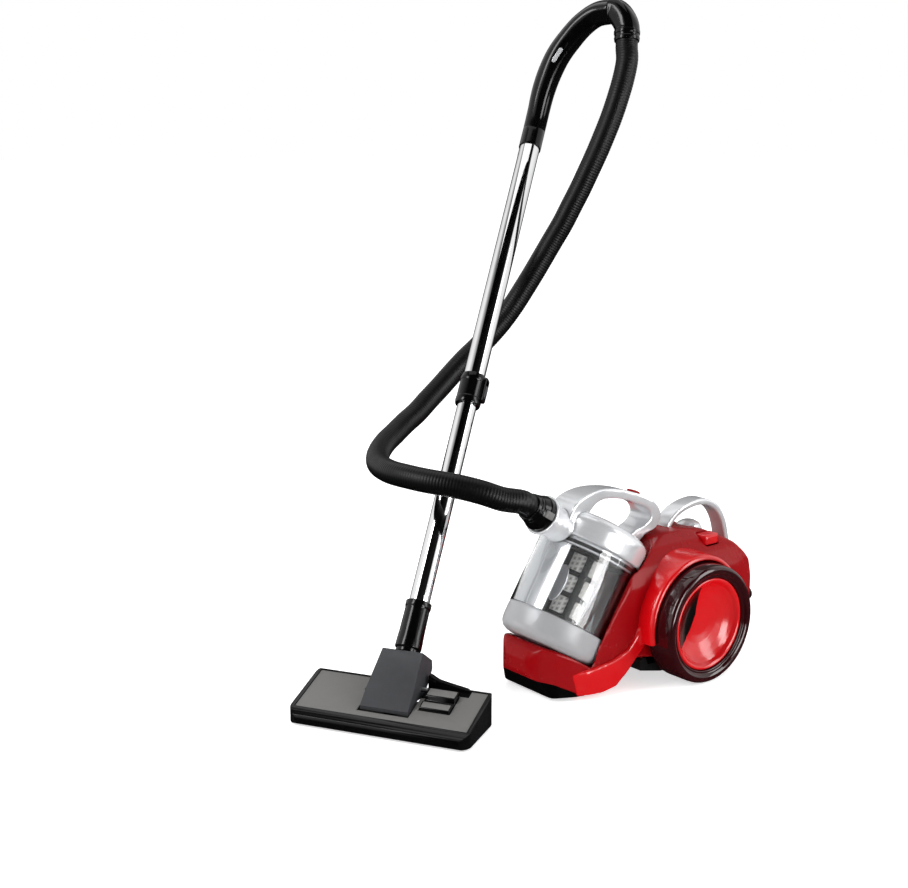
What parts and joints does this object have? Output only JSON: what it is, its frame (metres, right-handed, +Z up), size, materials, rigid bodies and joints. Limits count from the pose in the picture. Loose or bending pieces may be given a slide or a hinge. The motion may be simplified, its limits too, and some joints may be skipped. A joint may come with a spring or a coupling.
{
  "type": "canister vacuum cleaner",
  "caption": "Bagless cyclonic canister vacuum with a clear bin, big side wheels, flexible hose, telescopic wand and tilting floor head.",
  "frame": {"origin": "on the floor, under the middle of the whole object without its hose", "axes": "+Z up, -Y towards the canister's nose, +X towards the canister's left side"},
  "size_m": [0.4835, 0.7456, 1.0035],
  "materials": {
    "red_gloss": "glossy",
    "red_deep": "glossy",
    "black_satin": "satin",
    "black_gloss": "glossy",
    "smoked": "smoked, see-through",
    "rubber": "matt",
    "silver": "silver paint under clear lacquer",
    "chrome": "polished",
    "steel": "zinc plated",
    "clear": "clear polycarbonate",
    "frosted": "frosted polycarbonate",
    "grey": "fine texture",
    "grey_dark": "fine texture",
    "mesh_grey": "etched mesh",
    "foam": "open-cell foam and bristle",
    "paper": "pleated filter paper",
    "copper": "enamelled winding"
  },
  "bodies": {
    "canister": {"body_shell": "red_gloss", "fender_left": "red_gloss", "fender_right": "red_gloss", "base_tray": "black_satin", "axle_pin_left": "steel", "axle_pin_right": "steel", "motor_housing": "black_satin", "motor_mount": "rubber", "motor_filter": "foam", "exhaust_filter": "paper", "reel_axle": "steel", "cord_gland": "black_satin", "rear_handle": "silver", "hose": "black_satin", "grip": "black_gloss", "grip_elbow": "black_gloss", "upper_tube": "chrome", "latch_sleeve": "black_gloss"},
    "wheel_left": {"wheel_tyre_left": "smoked", "wheel_hub_left": "red_gloss"},
    "wheel_right": {"wheel_tyre_right": "smoked", "wheel_hub_right": "red_gloss"},
    "caster": {"caster_fork": "black_satin", "caster_pin": "steel"},
    "caster_roller": {"caster_wheel": "rubber"},
    "motor_shaft": {"motor_rotor": "copper"},
    "reel_drum": {"cord_reel": "grey_dark"},
    "filter_door": {"exhaust_grille": "black_satin"},
    "dial": {"power_dial": "silver"},
    "power_key": {"power_button": "red_gloss"},
    "rewind_key": {"rewind_button": "red_gloss"},
    "bin": {"bin_cup": "clear", "bin_base": "frosted"},
    "lid": {"bin_lid": "silver", "bin_handle": "silver", "lid_gasket": "rubber", "cyclone_core": "black_satin", "cyclone_mesh": "mesh_grey", "cyclone_cone": "black_satin", "inlet_plate": "silver"},
    "release_key": {"bin_release": "red_deep"},
    "connector": {"hose_connector": "black_gloss"},
    "connector_key": {"connector_latch": "grey"},
    "cuff": {"hose_cuff": "black_gloss"},
    "slider": {"suction_slider": "grey"},
    "wand_lower": {"lower_tube": "chrome", "neck_socket": "black_gloss"},
    "wand_key": {"latch_button": "grey_dark"},
    "yoke": {"head_yoke": "grey_dark", "yoke_pin_left": "steel", "yoke_pin_right": "steel"},
    "floor_head": {"head_body": "black_satin", "top_plate": "grey", "sole_plate": "steel"},
    "pedal": {"brush_pedal": "black_gloss"},
    "brush": {"brush_strip": "foam"},
    "roller_1": {"roller_front_left": "rubber"},
    "roller_2": {"roller_front_right": "rubber"},
    "roller_3": {"roller_rear_left": "rubber"},
    "roller_4": {"roller_rear_right": "rubber"}
  },
  "joints": [
    {"name": "wheel_left_spin", "type": "hinge", "parent": "canister", "child": "wheel_left", "pos_m": [0.217, 0.195, 0.089], "axis": [1, 0, 0], "continuous": true},
    {"name": "wheel_right_spin", "type": "hinge", "parent": "canister", "child": "wheel_right", "pos_m": [-0.011, 0.195, 0.089], "axis": [1, 0, 0], "continuous": true},
    {"name": "caster_swivel", "type": "hinge", "parent": "canister", "child": "caster", "pos_m": [0.103, -0.005, 0.02], "axis": [0, 0, 1], "continuous": true},
    {"name": "caster_roll", "type": "hinge", "parent": "caster", "child": "caster_roller", "pos_m": [0.103, -0.022, 0.014], "axis": [1, 0, 0], "continuous": true},
    {"name": "motor_spin", "type": "hinge", "parent": "canister", "child": "motor_shaft", "pos_m": [0.088, 0.235, 0.098], "axis": [0, 1, 0], "continuous": true},
    {"name": "reel_spin", "type": "hinge", "parent": "canister", "child": "reel_drum", "pos_m": [0.1452, 0.237, 0.088], "axis": [1, 0, 0], "continuous": true},
    {"name": "filter_door_hinge", "type": "hinge", "parent": "canister", "child": "filter_door", "pos_m": [0.103, 0.3686, 0.058], "axis": [-1, 0, 0], "range_deg": [0, 80]},
    {"name": "power_dial_turn", "type": "hinge", "parent": "canister", "child": "dial", "pos_m": [0.103, 0.289, 0.19], "axis": [0, 0, 1], "range_deg": [0, 270]},
    {"name": "power_button_press", "type": "slide", "parent": "canister", "child": "power_key", "axis": [0, 0, -1], "range_m": [0, 0.003], "stiffness_N_per_m": 400},
    {"name": "rewind_button_press", "type": "slide", "parent": "canister", "child": "rewind_key", "axis": [0, 0, -1], "range_m": [0, 0.003], "stiffness_N_per_m": 400},
    {"name": "bin_lift", "type": "slide", "parent": "canister", "child": "bin", "axis": [0, 0.5446, 0.8387], "range_m": [0, 0.16]},
    {"name": "lid_lift", "type": "slide", "parent": "bin", "child": "lid", "axis": [0, 0.5446, 0.8387], "range_m": [0, 0.15]},
    {"name": "bin_release_press", "type": "slide", "parent": "lid", "child": "release_key", "axis": [0, 0, -1], "range_m": [0, 0.0025], "stiffness_N_per_m": 400},
    {"name": "hose_connector_swivel", "type": "hinge", "parent": "lid", "child": "connector", "pos_m": [0.103, -0.02068, 0.26419], "axis": [0, -0.8387, 0.5446], "continuous": true},
    {"name": "connector_latch_press", "type": "slide", "parent": "connector", "child": "connector_key", "axis": [-1, 0, 0], "range_m": [0, 0.0015], "stiffness_N_per_m": 400},
    {"name": "hose_cuff_swivel", "type": "hinge", "parent": "canister", "child": "cuff", "pos_m": [-0.07692, 0.30848, 0.94336], "axis": [0.19, -0.19, -0.9632], "continuous": true},
    {"name": "suction_slider_slide", "type": "slide", "parent": "canister", "child": "slider", "axis": [0.4339, 0.3515, 0.8296], "range_m": [0, 0.012]},
    {"name": "telescope_slide", "type": "slide", "parent": "canister", "child": "wand_lower", "axis": [-0.2988, 0.5176, 0.8018], "range_m": [0, 0.16]},
    {"name": "tube_latch_slide", "type": "slide", "parent": "canister", "child": "wand_key", "axis": [-0.2988, 0.5176, 0.8018], "range_m": [0, 0.006], "stiffness_N_per_m": 400},
    {"name": "head_swivel", "type": "hinge", "parent": "wand_lower", "child": "yoke", "pos_m": [0.04246, -0.21422, 0.08509], "axis": [-0.2988, 0.5176, 0.8018], "range_deg": [-40, 40]},
    {"name": "head_tilt", "type": "hinge", "parent": "yoke", "child": "floor_head", "pos_m": [0.0574, -0.2401, 0.045], "axis": [0.866, 0.5, 0], "range_deg": [-11, 40]},
    {"name": "brush_pedal_rock", "type": "hinge", "parent": "floor_head", "child": "pedal", "pos_m": [0.12579, -0.2226, 0.036], "axis": [0.866, 0.5, 0], "range_deg": [0, 7]},
    {"name": "brush_drop", "type": "slide", "parent": "floor_head", "child": "brush", "axis": [0, 0, -1], "range_m": [0, 0.0046]},
    {"name": "roller_front_left_spin", "type": "hinge", "parent": "floor_head", "child": "roller_1", "pos_m": [0.1894, -0.24477, 0.0065], "axis": [0.866, 0.5, 0], "continuous": true},
    {"name": "roller_front_right_spin", "type": "hinge", "parent": "floor_head", "child": "roller_2", "pos_m": [-0.0046, -0.35677, 0.0065], "axis": [0.866, 0.5, 0], "continuous": true},
    {"name": "roller_rear_left_spin", "type": "hinge", "parent": "floor_head", "child": "roller_3", "pos_m": [0.14739, -0.17202, 0.009], "axis": [0.866, 0.5, 0], "continuous": true},
    {"name": "roller_rear_right_spin", "type": "hinge", "parent": "floor_head", "child": "roller_4", "pos_m": [-0.04659, -0.28402, 0.009], "axis": [0.866, 0.5, 0], "continuous": true}
  ],
  "couplings": [
    {"joint": "brush_drop", "follows": "brush_pedal_rock", "m_per_rad": 0.037652}
  ]
}
